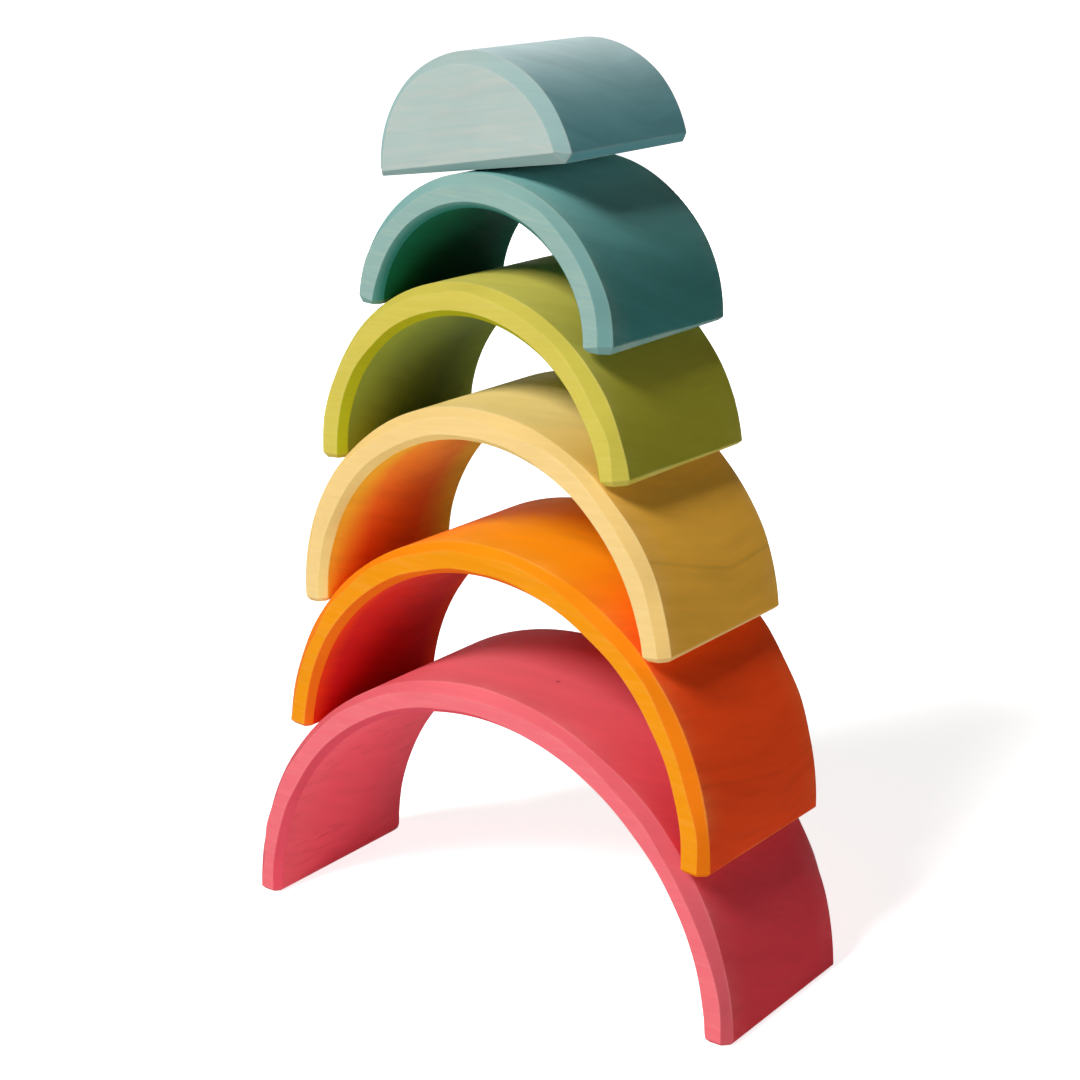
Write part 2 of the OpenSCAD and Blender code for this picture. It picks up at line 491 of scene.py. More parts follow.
        first_half, is_far = self._sides(loop)
        reach = add(t, "ShaderNodeMix", {0: is_far, 2: given["Near Loop"], 3: given["Far Loop"]},
                    data_type="FLOAT")
        backwards = add(t, VECTOR, {0: arriving, "Scale": -1.0}, operation="SCALE")
        arm = add(t, "ShaderNodeMix", {0: first_half, 4: leaving, 5: backwards}, 1, data_type="VECTOR")
        cut = add(t, VECTOR, [here, sharp], operation="SUBTRACT")
        spot = sharp
        for part, amount in ((cut, self._swing(corner, row.share)), (inward, inset_by), (arm, reach)):
            spot = add(t, VECTOR, [add(t, VECTOR, {0: part, "Scale": amount}, operation="SCALE"), spot],
                       operation="ADD")
        radius, along, _ = add(t, "ShaderNodeSeparateXYZ", [spot]).node.outputs
        return radius, along

    def _marks(self, corner: Wire, loop: Wire, row: Row, sideways: Wire) -> dict[Mark, Wire]:
        """Works out what the stain has to know about each point.

        Args:
            corner: The number of the corner that the point's loop belongs to.
            loop: Its number at that corner.
            row: How the row lies.
            sideways: Cosine of the row's angle round the arc.

        Returns:
            A field for each mark.
        """
        t = self.tree
        first_half, is_far = self._sides(loop)
        wall = add(t, MATH, [corner, first_half], operation="SUBTRACT")
        wall = add(t, MATH, [wall, float(self.CORNERS)], operation="FLOORED_MODULO")
        # The walls alternate face, bevel, curve, bevel, for which the face mark is 1, 0.5, 0, 0.5
        side = add(t, MATH, [wall, self.HALF], operation="FLOORED_MODULO")
        from_face = add(t, MATH, [side, add(t, MATH, [self.HALF, side], operation="SUBTRACT")],
                        operation="MINIMUM")
        flat = add(t, MATH, [from_face, -0.5, 1.0], operation="MULTIPLY_ADD")
        from_wall = add(t, MATH, [add(t, MATH, [wall, self.INNER_WALL], operation="SUBTRACT")],
                        operation="ABSOLUTE")
        from_edge = add(t, MATH, [add(t, MATH, [corner, self.INNER_EDGES], operation="SUBTRACT")],
                        operation="ABSOLUTE")
        by_wall = add(t, "ShaderNodeMapRange", [from_wall, 0.0, 2.0, self.INSIDE_SHARES[0], 0.0])
        by_edge = add(t, "ShaderNodeMapRange", [from_edge, 0.5, 1.5, self.INSIDE_SHARES[1], 0.0])
        wear = add(t, MATH, [corner, *self.CURVE_RIMS], operation="COMPARE")
        wear = add(t, MATH, [wear, 1.0 - self.LEAST_WEAR, self.LEAST_WEAR], operation="MULTIPLY_ADD")
        in_reach = add(t, MATH, [corner, self.INNER_FROM], operation="LESS_THAN")
        beside = add(t, MATH, [1.0, is_far], operation="SUBTRACT")
        for other in (in_reach, beside):
            wear = add(t, MATH, [wear, other], operation="MULTIPLY")
        # The foot bevels get the rim colour and bare patches, lighter than the flanks: partly sanded wood,
        # partly painted light bounced up from the crown below
        return {
            Mark.EDGE: add(t, MATH, [wear, row.foot_edge], operation="MAXIMUM"),
            Mark.FACE: add(t, "ShaderNodeMix", {0: row.under, 2: flat, 3: 0.5}, data_type="FLOAT"),
            Mark.INSIDE: add(t, MATH, [by_wall, by_edge], operation="ADD"),
            Mark.END: add(t, MATH, [sideways], operation="ABSOLUTE"),
        }

    def _build(self) -> None:
        """Sweeps the section round the arc, marks its zones, smooths it and seats it in the stack."""
        t, given = self.tree, self.given
        around = self.CORNERS * self.LOOPS
        last = 2 * self.FOOT_ROWS + self.arc_rows - 1
        tube = add(t, "GeometryNodeMeshCylinder", [around, last], fill_type="NGON")
        index = add(t, "GeometryNodeInputIndex")
        ring = add(t, MATH, [add(t, MATH, [index, float(around)], operation="DIVIDE")], operation="FLOOR")
        step = add(t, MATH, [index, float(around)], operation="FLOORED_MODULO")
        corner = add(t, MATH, [add(t, MATH, [step, float(self.LOOPS)], operation="DIVIDE")], operation="FLOOR")
        loop = add(t, MATH, [step, float(self.LOOPS)], operation="FLOORED_MODULO")
        row = self._row(ring, last)
        radius, along = self._spot(corner, loop, row)

        behind = add(t, MATH, [corner, self.OUTER_RIMS[0]], operation="GREATER_THAN")
        rise = add(t, "ShaderNodeMix", {0: behind, 2: given["Foot Rise"], 3: given["Back Rise"]},
                   data_type="FLOAT")
        rise = add(t, "ShaderNodeMix", {0: self._outer(corner), 2: 1.0, 3: rise}, data_type="FLOAT")
        raised = add(t, MATH, [row.height, rise, given["Base Trim"]], operation="MULTIPLY_ADD")
        low = add(t, MATH, [add(t, MATH, [raised, radius], operation="DIVIDE")], operation="ARCSINE")
        span = add(t, MATH, [low, -2.0, math.pi], operation="MULTIPLY_ADD")
        angle = add(t, MATH, [row.share, span, low], operation="MULTIPLY_ADD")
        sideways = add(t, MATH, [angle], operation="COSINE")
        upward = add(t, MATH, [angle], operation="SINE")
        x = add(t, MATH, [radius, sideways], operation="MULTIPLY")
        z = add(t, MATH, [add(t, MATH, [radius, upward], operation="MULTIPLY"), given["Base Trim"]],
                operation="SUBTRACT")
        swept = add(t, "GeometryNodeSetPosition",
                    {"Geometry": tube, "Position": add(t, "ShaderNodeCombineXYZ", [x, along, z])})
        for mark, value in self._marks(corner, loop, row, sideways).items():
            swept = add(t, "GeometryNodeStoreNamedAttribute",
                        {"Geometry": swept, "Name": mark.value, "Value": value},
                        data_type="FLOAT", domain="POINT")
        outwards = add(t, "GeometryNodeFlipFaces", [swept])
        smooth = add(t, "GeometryNodeSubdivisionSurface", [outwards, self.smoothing])
        seated = add(t, "GeometryNodeTransform",
                     {"Geometry": smooth, "Translation": given["Seat"], "Rotation": given["Seat Turn"]})
        shaded = add(t, "GeometryNodeSetShadeSmooth", {"Geometry": seated})
        real = add(t, "GeometryNodeRealizeInstances", {"Geometry": shaded})
        stained = add(t, "GeometryNodeSetMaterial", {"Geometry": real, "Material": given["Stain"]})
        add(t, "NodeGroupOutput", [stained])

    def make(self, name: str, values: dict[str, object]) -> bpy.types.Object:
        """Runs the tree once and keeps its result as a plain mesh.

        Args:
            name: The new object's name.
            values: A value for each of the tree's named inputs.

        Returns:
            The object, with its place in its mesh and no modifier left.
        """
        start = bpy.data.meshes.new(name)
        obj = bpy.data.objects.new(name, start)
        bpy.context.scene.collection.objects.link(obj)
        modifier = obj.modifiers.new("arch", "NODES")
        modifier.node_group = self.tree
        for key, value in values.items():
            modifier[self.sockets[key]] = value
        return settle(obj, modifier)


@dataclass(frozen=True)
class Zones:
    """How much a point of a piece belongs to each of its zones, as shares from nought to one."""

    face: Wire
    curve: Wire
    crown: Wire
    soaked: Wire
    inner_bevel: Wire
    hollow: Wire
    outwards: Wire
    edge: Wire


@dataclass(frozen=True)
class LimeStain:
    """Lime wood, sawn, sanded and stained with thin water colour.

    The finish is matt and a little uneven. The flat faces stay pale, the curves and above all the cut
    fibre ends drink more stain and go deeper, and the growth layers show as fine lines along the piece.
    Colours are sRGB codes, and sizes are in millimetres. The pores and fibres of lime are far finer than
    a pixel, so its grain and torn fibres are drawn coarser, at a size that shows.
    """

    name: str
    face: str
    rim: str
    curve: str
    deep: str
    inside: str
    # Colour of the inside at its front and back openings and its top, painted lighter there as light that
    # reaches into the hollow
    inside_lit_rim: str
    inner_rim: str
    bare: str
    seed: float
    soak_reach: Pair = (0.15, 1.15)
    inner_spread: Pair = (0.3, 0.7)
    # Distances from the middle of the depth over which the painted shade of the hollow gives way to that
    # lighter colour
    inside_shade_reach: Pair = (8.0, 26.0)
    bare_share: float = 0.1
    worn_share: float = 0.25
    line_height: float | None = None
    spot: Triple | None = None
    grain_contrast: float = 0.14
    band_contrast: float = 0.5
    blotch_contrast: float = 0.1
    line_contrast: float = 0.2
    torn_contrast: float = 0.04
    spot_contrast: float = 0.45
    torn_depth: float = 24.0
    layer_slope: float = 0.38
    back_slope: float = 0.0
    level_from: float = 8.0
    levelling: float = 8.0
    wobble: Pair = (38.0, 5.0)
    grain: Triple = (34.0, 20.0, 0.8)
    band: Triple = (80.0, 30.0, 4.5)
    streak: Triple = (13.0, 18.0, 1.2)
    dash: Triple = (8.0, 8.0, 0.75)
    blotch: Triple = (16.0, 16.0, 16.0)
    line_width: float = 0.9
    spot_size: float = 1.0
    relief: float = 0.12

    # Octaves of each pattern of noise, and how strongly the finer ones show
    DETAIL = {"grain": 5.0, "band": 2.0, "streak": 3.0, "dash": 4.0, "blotch": 3.0}
    NOISE_ROUGHNESS = 0.6
    # Values of the noise between which bare streaks, worn edges and torn fibres set in
    STREAKS = (0.45, 0.75)
    WORN = (0.35, 0.7)
    TORN = (0.5, 0.72)
    # Torn fibres come in patches: values of the noise, and how much is left between the patches
    TORN_PATCHES = (0.42, 0.58)
    TORN_BETWEEN = 0.2
    # How much of the growth layers' figure the flat faces show
    FACE_FIGURE = 0.2
    # Size of the dark heart of a spot, as a share of the spot
    SPOT_HEART = 0.2
    BUMP_STRENGTH = 0.35
    # Roughness that follows the grain, and the weak gloss of a dry water stain
    GRAIN_VALUES = (0.3, 0.7)
    ROUGHNESS = (0.62, 0.8)
    REFRACTION = 1.45
    GLOSS = 0.06

    def _slope(self, t: bpy.types.NodeTree, own: Wire) -> Wire:
        """Works out how far the growth layers have sunk at a point, as they slope and wander.

        Args:
            t: The material's tree.
            own: Coordinates in the piece's own frame.

        Returns:
            What a point's height has to be raised by to give the height of its layer.
        """
        size, swing = (v * MM for v in self.wobble)
        drift = add(t, "ShaderNodeTexNoise", {"Vector": own, "W": self.seed, "Scale": 1 / size, "Detail": 1.0},
                    noise_dimensions="4D")
        shift = add(t, MATH, [drift, swing, -0.5 * swing], operation="MULTIPLY_ADD")
        depth = add(t, "ShaderNodeSeparateXYZ", [own], "Y")
        turn = self.layer_slope + self.back_slope
        falling = add(t, MATH, [depth, self.layer_slope], operation="MULTIPLY")
        rising = add(t, MATH, [depth, -self.back_slope, turn * self.level_from * MM], operation="MULTIPLY_ADD")
        kinked = add(t, MATH, [falling, rising, turn * self.levelling * MM], operation="SMOOTH_MIN")
        return add(t, MATH, [kinked, shift], operation="ADD")

    def _noise(self, t: bpy.types.NodeTree, own: Wire, sloped: Wire) -> dict[str, Wire]:
        """Makes the patterns of the wood, drawn over its layers, and the torn fibres, drawn over the piece.

        Args:
            t: The material's tree.
            own: Coordinates in the piece's own frame.
            sloped: How far the layers have sunk.

        Returns:
            The value of each pattern, by its name.
        """
        layered = add(t, VECTOR, [own, add(t, "ShaderNodeCombineXYZ", {2: sloped})], operation="ADD")
        noise = {}
        for key, detail in self.DETAIL.items():
            scale = tuple(1 / (v * MM) for v in getattr(self, key))
            scaled = add(t, VECTOR, [own if key == "dash" else layered, scale], operation="MULTIPLY")
            noise[key] = add(t, "ShaderNodeTexNoise",
                             {"Vector": scaled, "W": self.seed, "Scale": 1.0, "Detail": detail,
                              "Roughness": self.NOISE_ROUGHNESS}, noise_dimensions="4D")
        return noise

    def _zones(self, t: bpy.types.NodeTree, own: Wire) -> Zones:
        """Reads the marks on the mesh and turns them into shares.

        Args:
            t: The material's tree.
            own: Coordinates in the piece's own frame.

        Returns:
            The shares of the zones.
        """
        marks = {m: add(t, "ShaderNodeAttribute", out="Fac", attribute_name=m.value) for m in Mark}
        curve = add(t, "ShaderNodeMapRange", [marks[Mark.FACE], 0.0, 0.5, 1.0, 0.0])
        ends = add(t, "ShaderNodeMapRange", [marks[Mark.END], *self.soak_reach, 0.0, 1.0],
                   interpolation_type="SMOOTHSTEP")
        depth = add(t, "ShaderNodeSeparateXYZ", [own], "Y")
        away = add(t, MATH, [depth], operation="ABSOLUTE")
        return Zones(
            face=add(t, "ShaderNodeMapRange", [marks[Mark.FACE], 0.5, 1.0, 0.0, 1.0]),
            curve=curve,
            crown=add(t, MATH, [1.0, marks[Mark.END]], operation="SUBTRACT"),
            soaked=add(t, MATH, [ends, curve], operation="MULTIPLY"),
            inner_bevel=add(t, "ShaderNodeMapRange", [marks[Mark.INSIDE], 0.0, self.inner_spread[0], 0.0, 1.0]),
            hollow=add(t, "ShaderNodeMapRange", [marks[Mark.INSIDE], self.inner_spread[1], 1.0, 0.0, 1.0]),
            # Share of the painted light towards the front and back openings of the hollow
            outwards=add(t, "ShaderNodeMapRange", [away, *(v * MM for v in self.inside_shade_reach), 0.0, 1.0],
                         interpolation_type="SMOOTHSTEP"),
            edge=marks[Mark.EDGE],
        )

    def _colour(self, t: bpy.types.NodeTree, zones: Zones, noise: dict[str, Wire]) -> Wire:
        """Lays the stain's colours over each other, from the rims to the rubbed edges, with painted light in
        the hollow and on the foot bevels.

        Args:
            t: The material's tree.
            zones: The shares of the zones.
            noise: The patterns of the wood.

        Returns:
            The colour before the grain.
        """
        streaks = add(t, "ShaderNodeMapRange", [noise["streak"], *self.STREAKS, 0.0, self.bare_share])
        thin = add(t, MATH, [streaks, zones.face], operation="MULTIPLY")
        patchy = add(t, "ShaderNodeMapRange", [noise["blotch"], *self.WORN, 0.0, self.worn_share])
        # Bare patches on the rubbed rims, and on the foot bevels, where the lighter colour is partly painted
        # light bounced up from the crown below
        worn_and_lit = add(t, MATH, [zones.edge, patchy], operation="MULTIPLY")
        # Painted light: the inside is darkest in the middle of the hollow, and is painted lighter towards its
        # front and back openings and its top, where more light reaches in
        pale = add(t, MATH, [zones.outwards, zones.crown], operation="MAXIMUM")
        inside = add(t, "ShaderNodeMix", {0: pale, 6: linear(self.inside), 7: linear(self.inside_lit_rim)}, 2,
                     data_type="RGBA")
        plain = add(t, MATH, [zones.face, zones.crown], operation="MAXIMUM")
        layers = (
            (plain, linear(self.face)), (zones.curve, linear(self.curve)), (zones.soaked, linear(self.deep)),
            (zones.inner_bevel, linear(self.inner_rim)), (zones.hollow, inside),
            (thin, linear(self.bare)), (worn_and_lit, linear(self.bare)),
        )
        colour = linear(self.rim)
        for share, other in layers:
            colour = add(t, "ShaderNodeMix", {0: share, 6: colour, 7: other}, 2, data_type="RGBA")
        return colour

    def _torn(self, t: bpy.types.NodeTree, zones: Zones, noise: dict[str, Wire]) -> Wire:
        """Scatters short torn fibres over the sawn inside, in patches.

        Args:
            t: The material's tree.
            zones: The shares of the zones.
            noise: The patterns of the wood.

        Returns:
            How deep the wood is torn, from nought to one.
        """
        torn = add(t, "ShaderNodeMapRange", [noise["dash"], *self.TORN, 0.0, 1.0])
        patches = add(t, "ShaderNodeMapRange", [noise["blotch"], *self.TORN_PATCHES, self.TORN_BETWEEN, 1.0])
        return add(t, MATH, [add(t, MATH, [torn, patches], operation="MULTIPLY"), zones.hollow],
                   operation="MULTIPLY")

    def _tone(self, t: bpy.types.NodeTree, zones: Zones, noise: dict[str, Wire], torn: Wire) -> Wire:
        """Works out how the grain, the blotches and the torn fibres lighten and darken the colour.

        Args:
            t: The material's tree.
            zones: The shares of the zones.
            noise: The patterns of the wood.
            torn: How deep the wood is torn.

        Returns:
            What the colour is multiplied by.
        """
        seen = add(t, MATH, [zones.curve, 1.0 - self.FACE_FIGURE, self.FACE_FIGURE], operation="MULTIPLY_ADD")
        figure = add(t, MATH, [add(t, MATH, [noise["band"], 0.5], operation="SUBTRACT"), seen],
                     operation="MULTIPLY")
        even = 1.0 - 0.5 * (self.grain_contrast + self.blotch_contrast)
        tone = add(t, MATH, [figure, self.band_contrast, even], operation="MULTIPLY_ADD")
        parts = ((noise["grain"], self.grain_contrast), (noise["blotch"], self.blotch_contrast),
                 (torn, -self.torn_contrast))
        for part, contrast in parts:
            tone = add(t, MATH, [part, contrast, tone], operation="MULTIPLY_ADD")
        return tone

    def _line(self, t: bpy.types.NodeTree, own: Wire, sloped: Wire, zones: Zones) -> Wire:
        """Draws one strong growth line round the outside, at its height over the base.

        Args:
            t: The material's tree.
            own: Coordinates in the piece's own frame.
            sloped: How far the layers have sunk.
            zones: The shares of the zones.

        Returns:
            The line's share.
        """
        height = add(t, "ShaderNodeSeparateXYZ", [own], "Z")
        level = add(t, MATH, [height, sloped], operation="ADD")
        off = add(t, MATH, [level, self.line_height * MM], operation="SUBTRACT")
        off = add(t, MATH, [off], operation="ABSOLUTE")
        line = add(t, "ShaderNodeMapRange", [off, 0.0, self.line_width * MM, 1.0, 0.0],
                   interpolation_type="SMOOTHSTEP")
        outside = add(t, MATH, [zones.soaked, zones.hollow], operation="SUBTRACT", use_clamp=True)
        return add(t, MATH, [line, outside], operation="MULTIPLY")

    def material(self, seat: Seat) -> bpy.types.Material:
        """Builds the stain for a piece, with its growth layers nearly level and sloping to the back.

        Args:
            seat: Where the piece stands, which turns the grain with it.

        Returns:
            The material.
        """
        material = bpy.data.materials.new(self.name)
        material.use_nodes = True
        t = material.node_tree
        t.nodes.clear()
        coords = add(t, "ShaderNodeTexCoord", out="Object")
        own = add(t, "ShaderNodeMapping", [coords, seat.base, seat.euler()], vector_type="TEXTURE")
        sloped = self._slope(t, own)
        noise = self._noise(t, own, sloped)
        zones = self._zones(t, own)
        torn = self._torn(t, zones, noise)
        tone = self._tone(t, zones, noise, torn)
        if self.line_height is not None:
            tone = add(t, MATH, [self._line(t, own, sloped, zones), -self.line_contrast, tone],
                       operation="MULTIPLY_ADD")
        if self.spot is not None:
            away = add(t, VECTOR, [own, tuple(v * MM for v in self.spot)], "Value", operation="DISTANCE")
            size = self.spot_size * MM
            knot = add(t, "ShaderNodeMapRange", [away, self.SPOT_HEART * size, size, 1.0, 0.0])
            tone = add(t, MATH, [knot, -self.spot_contrast, tone], operation="MULTIPLY_ADD")
        toned = add(t, VECTOR, {0: self._colour(t, zones, noise), "Scale": tone}, operation="SCALE")
        surface = add(t, MATH, [torn, -self.torn_contrast * self.torn_depth, noise["grain"]],
                      operation="MULTIPLY_ADD")
        bump = add(t, "ShaderNodeBump",
                   {"Strength": self.BUMP_STRENGTH, "Distance": self.relief * MM, "Height": surface})
        rough = add(t, "ShaderNodeMapRange", [noise["grain"], *self.GRAIN_VALUES, *self.ROUGHNESS])
        wood = add(t, "ShaderNodeBsdfPrincipled",
                   {"Base Color": toned, "Roughness": rough, "IOR": self.REFRACTION,
                    "Specular IOR Level": self.GLOSS, "Normal": bump})
        add(t, "ShaderNodeOutputMaterial", {"Surface": wood})
        return material


@dataclass
class Arch:
    """One stained arch of the rainbow, in place of its CAD solid. Sizes are in millimetres."""

    node: str
    body: str
    slot: str
    place: Place
    finish: LimeStain
    seed: float
    foot_rise: Pair
    facet: float = 11.0
    facet_swing: float = 0.3
    near_loop: float = 0.1
    far_loop: float = 0.3

    def build(self, stack: Stack, tree: ArchTree, seat: Seat) -> bpy.types.Object:
        """Makes the arch from the shared tree and dresses it.

        Args:
            stack: The rainbow's sizes.
            tree: The tree that sweeps the arches.
            seat: Where this arch stands.

        Returns:
            The finished piece.
        """
        radius = stack.outer_r(self.place)
        values = {
            "Outer Radius": radius * MM, "Wall": stack.wall * MM, "Depth": stack.depth * MM,
            "Base Trim": stack.base_trim * MM, "Foot Bevel": stack.foot_bevel * MM,
            "Foot Rise": self.foot_rise[0], "Back Rise": self.foot_rise[1],
            "Outer Bevel": (*(v * MM for v in stack.outer_bevel), 0.0),
            "Inner Bevel": (*(v * MM for v in stack.inner_bevel), 0.0),
            "Near Loop": self.near_loop * MM, "Far Loop": self.far_loop * MM,
            "Facets": float(round(math.pi * radius / self.facet)), "Facet Swing": self.facet_swing,
            "Seed": self.seed, "Seat": tuple(seat.base), "Seat Turn": tuple(seat.euler()),
            "Stain": self.finish.material(seat),
        }
        return claim(tree.make(self.node + "_wood", values), self.node, self.body)


@dataclass(frozen=True)
class BlockLoop:
    """One closed loop of the core block, from the right end of its base over the curve and back.

    The loops are counted from a face inwards: two on the face, four on the bevel and two behind it.
    """

    block: CoreBlock
    stack: Stack
    row: int
    front: bool
    swings: list[list[float]]

    def _depth_at(self, back: float) -> float:
        """Gives the place along the depth of a point that is set back from the loop's face."""
        away = self.stack.depth / 2 - back
        return -away if self.front else away

    def _rim(self, angle: float) -> Pair:
        """Finds where the loop lies on the bevel of the curved rim.

        Args:
            angle: The angle round the arc, from the right.

        Returns:
            How far the loop is set in from the curve and back from the face.
        """
        edges = self.swings[:2] if self.front else self.swings[2:]
        spot = angle / math.pi * (len(edges[0]) - 1)
        knot = min(int(spot), len(edges[0]) - 2)
        inner, outer = (e[knot] + (e[knot + 1] - e[knot]) * (spot - knot) for e in edges)
        wander = self.block.CURVE_WANDER
        inset, back = self.stack.core_rim
        return self.block.across(inset * inner, back * (1 - wander + wander * outer))[self.row]

    def _base(self, x: float) -> Pair:
        """Finds where the loop lies on the bevel of the base.

        Args:
            x: The place across the block.

        Returns:
            How high over the base and how far back from the face the loop lies.
        """
        nominal = self.stack.core_base_bevel
        left, right = self.block.front_base_bevel if self.front else (nominal, nominal)
        bevel = left + (right - left) * (x / self.stack.core_r() + 1) / 2
        return self.block.across(bevel, bevel)[self.row]

    def _on_arc(self, angle: float, edge: float) -> Point:
        """Makes a point of the loop on the curve.

        Args:
            angle: The angle round the arc, from the right.
            edge: The point's edge mark.

        Returns:
            The point and its marks.
        """
        inset, back = self._rim(angle)
        r = self.stack.core_r() - inset
        spot = Vector((r * math.cos(angle), self._depth_at(back), r * math.sin(angle) - self.stack.base_trim))
        return spot, {Mark.EDGE: edge, Mark.END: abs(math.cos(angle))}

    def _on_base(self, x: float, edge: float) -> Point:
        """Makes a point of the loop on the flat base.

        Args:
            x: The place across the block.
            edge: The point's edge mark.

        Returns:
            The point and its marks.
        """
        height, back = self._base(x)
        spot = Vector((x, self._depth_at(back), height))
        return spot, {Mark.EDGE: edge, Mark.END: self.block.base_soak}

    def _end(self, hand: float) -> tuple[float, float, list[Point]]:
        """Works out one end of the loop, where a bevel joins the base and the curve.

        Args:
            hand: 1 for the right end and -1 for the left one.

        Returns:
            The angle at which the curve starts, half the width of the base, and the points of the bevel.
        """
        block, trim, radius = self.block, self.stack.base_trim, self.stack.core_r()
        side = block.near + (self.stack.core_base_bevel - block.near) * block.SIDE_GROWS[self.row]
        height, back = self._base(hand * radius)
        r = radius - self._rim(block.RIM_END if hand > 0 else math.pi - block.RIM_END)[0]
        start = math.asin((trim + height + side) / r)
        foot_x = math.sqrt(r ** 2 - (trim + height) ** 2) - side
        meeting, _ = self._on_arc(start if hand > 0 else math.pi - start, 0.0)
        shoulder = Vector((hand * r * math.cos(start), meeting.y, height + side))
        foot = Vector((hand * foot_x, self._depth_at(back), height))
        length = (shoulder - foot).length
        near, far = (min(v / length, most) for v, most in zip((block.near, block.far), block.MOST_SHARES))
        shares = ((near, 1.0), (far, 0.0), (1 - far, 0.0), (1 - near, 1.0))
        bevel = [(foot.lerp(shoulder, s), {Mark.EDGE: edge, Mark.END: 1.0}) for s, edge in shares]
        return start, foot_x, bevel

    def points(self) -> list[Point]:
        """Makes the whole loop.

        Returns:
            The points in the block's own frame in millimetres, with the marks of each.
        """
        block, radius = self.block, self.stack.core_r()
        start_r, foot_r, bevel_r = self._end(1.0)
        start_l, foot_l, bevel_l = self._end(-1.0)
        first, last = start_r + block.far / radius, math.pi - start_l - block.far / radius
        loop = [self._on_base(foot_r - block.far, 0.0), self._on_base(foot_r - block.near, 1.0), *bevel_r]
        loop += [self._on_arc(start_r + block.near / radius, 1.0)]
        loop += [self._on_arc(first + (last - first) * i / block.arc_steps, 0.0)
                 for i in range(block.arc_steps + 1)]
        loop += [self._on_arc(math.pi - start_l - block.near / radius, 1.0), *reversed(bevel_l)]
        loop += [self._on_base(block.near - foot_l, 1.0)]
        left, right = block.far - foot_l, foot_r - block.far
        loop += [self._on_base(left + (right - left) * i / block.base_steps, 0.0)
                 for i in range(block.base_steps)]
        return [(spot, {**marks, Mark.EDGE: max(marks[Mark.EDGE], block.ROW_EDGE[self.row]),
                        Mark.FACE: block.ROW_FACE[self.row]}) for spot, marks in loop]


@dataclass
class CoreBlock:
    """The solid half-round block, with bevels that the sander left uneven. Sizes are in millimetres."""

    node: str
    body: str
    slot: str
    finish: LimeStain
    seed: int
    front_base_bevel: Pair = (1.3, 3.2)
    facet: float = 12.0
    facet_swing: float = 0.2
    near: float = 0.1
    far: float = 0.3
    arc_steps: int = 48
    base_steps: int = 10
    middle_rows: int = 6
    smoothing: int = 2
    base_soak: float = 0.6

    # For each loop from a face inwards: its face and edge marks, and how far the end bevel has grown
    ROW_FACE = (1.0, 1.0, 0.5, 0.5, 0.5, 0.5, 0.0, 0.0)
    ROW_EDGE = (0.0, 0.4, 0.4, 0.0, 0.0, 1.0, 1.0, 0.0)
    SIDE_GROWS = (0.0, 0.0, 0.05, 0.15, 0.85, 0.95, 1.0, 1.0)
    # A rim wanders less at its edge on the curve
    CURVE_WANDER = 0.5
    # Angle at which a rim is measured for the ends, in radians
    RIM_END = 0.02
    # Most that the near and the far loop may take of a short end bevel
    MOST_SHARES = (0.15, 0.4)
    # Two edges for the front rim and two for the back one
    RIM_EDGES = 4

    def _swings(self, radius: float) -> list[list[float]]:
        """Draws how the rims wander, at knots a sander's pass apart.

        Args:
            radius: The block's radius.

        Returns:
            For each edge of a rim, what the bevel is multiplied by at the knots.
        """
        draw = Random(self.seed)
        knots = round(math.pi * radius / self.facet) + 2
        return [[1 + self.facet_swing * draw.uniform(-1, 1) for _ in range(knots)]
                for _ in range(self.RIM_EDGES)]

    def across(self, inset: float, back: float) -> list[Pair]:
        """Gives the loops across a bevel, two on either side of both its edges.

        Args:
            inset: The bevel's size on the face.
            back: Its size along the depth.

        Returns:
            How far each loop is set in from the outline and back from the face.
        """
        length = math.hypot(inset, back)
        steps = [self.near, self.far, length - self.far, length - self.near]
        slant = [(inset * (1 - s / length), back * s / length) for s in steps]
        return [(inset + self.far, 0.0), (inset + self.near, 0.0), *slant, (0.0, back + self.near),
                (0.0, back + self.far)]

    def _skin(self, loops: list[list[Point]], place: Matrix) -> bpy.types.Mesh:
        """Joins the loops into a closed mesh that carries their marks.

        Args:
            loops: The loops from the front face to the back one, in millimetres.
            place: The transform from the block's own frame to the stack's.

        Returns:
            The mesh, in metres.
        """
        mesh = bmesh.new()
        layers = {m: mesh.verts.layers.float.new(m.value) for m in Mark}
        rows = []
        for loop in loops:
            row = []
            for spot, marks in loop:
                vert = mesh.verts.new(place @ (spot * MM))
                for mark, layer in layers.items():
                    vert[layer] = marks.get(mark, 0.0)
                row.append(vert)
            rows.append(row)
        count = len(rows[0])
        for first, second in zip(rows, rows[1:]):
            for i in range(count):
                j = (i + 1) % count
                mesh.faces.new((first[i], first[j], second[j], second[i]))
        mesh.faces.new(rows[0][::-1])
        mesh.faces.new(rows[-1])
        bmesh.ops.recalc_face_normals(mesh, faces=mesh.faces)
        for face in mesh.faces:
            face.smooth = True
        data = bpy.data.meshes.new(self.node)
        mesh.to_mesh(data)
        mesh.free()
        return data

    def build(self, stack: Stack, seat: Seat) -> bpy.types.Object:
        """Skins the loops, closes the two faces, smooths the block and dresses it.

        Args:
            stack: The rainbow's sizes.
            seat: Where the block stands.

        Returns:
            The finished piece.
        """
        swings = self._swings(stack.core_r())
        front, back = ([BlockLoop(self, stack, row, side, swings).points() for row in range(len(self.ROW_FACE))]
                       for side in (True, False))
        middle = []
        for i in range(1, self.middle_rows + 1):
            share = i / (self.middle_rows + 1)
            middle.append([(a.lerp(b, share), marks) for (a, marks), (b, _) in zip(front[-1], back[-1])])
        data = self._skin(front + middle + back[::-1], seat.matrix())
        piece = bpy.data.objects.new(self.node + "_wood", data)
        bpy.context.scene.collection.objects.link(piece)
        data.materials.append(self.finish.material(seat))
        rounding = piece.modifiers.new("sanded", "SUBSURF")
        rounding.levels = rounding.render_levels = self.smoothing
        return claim(settle(piece, rounding), self.node, self.body)


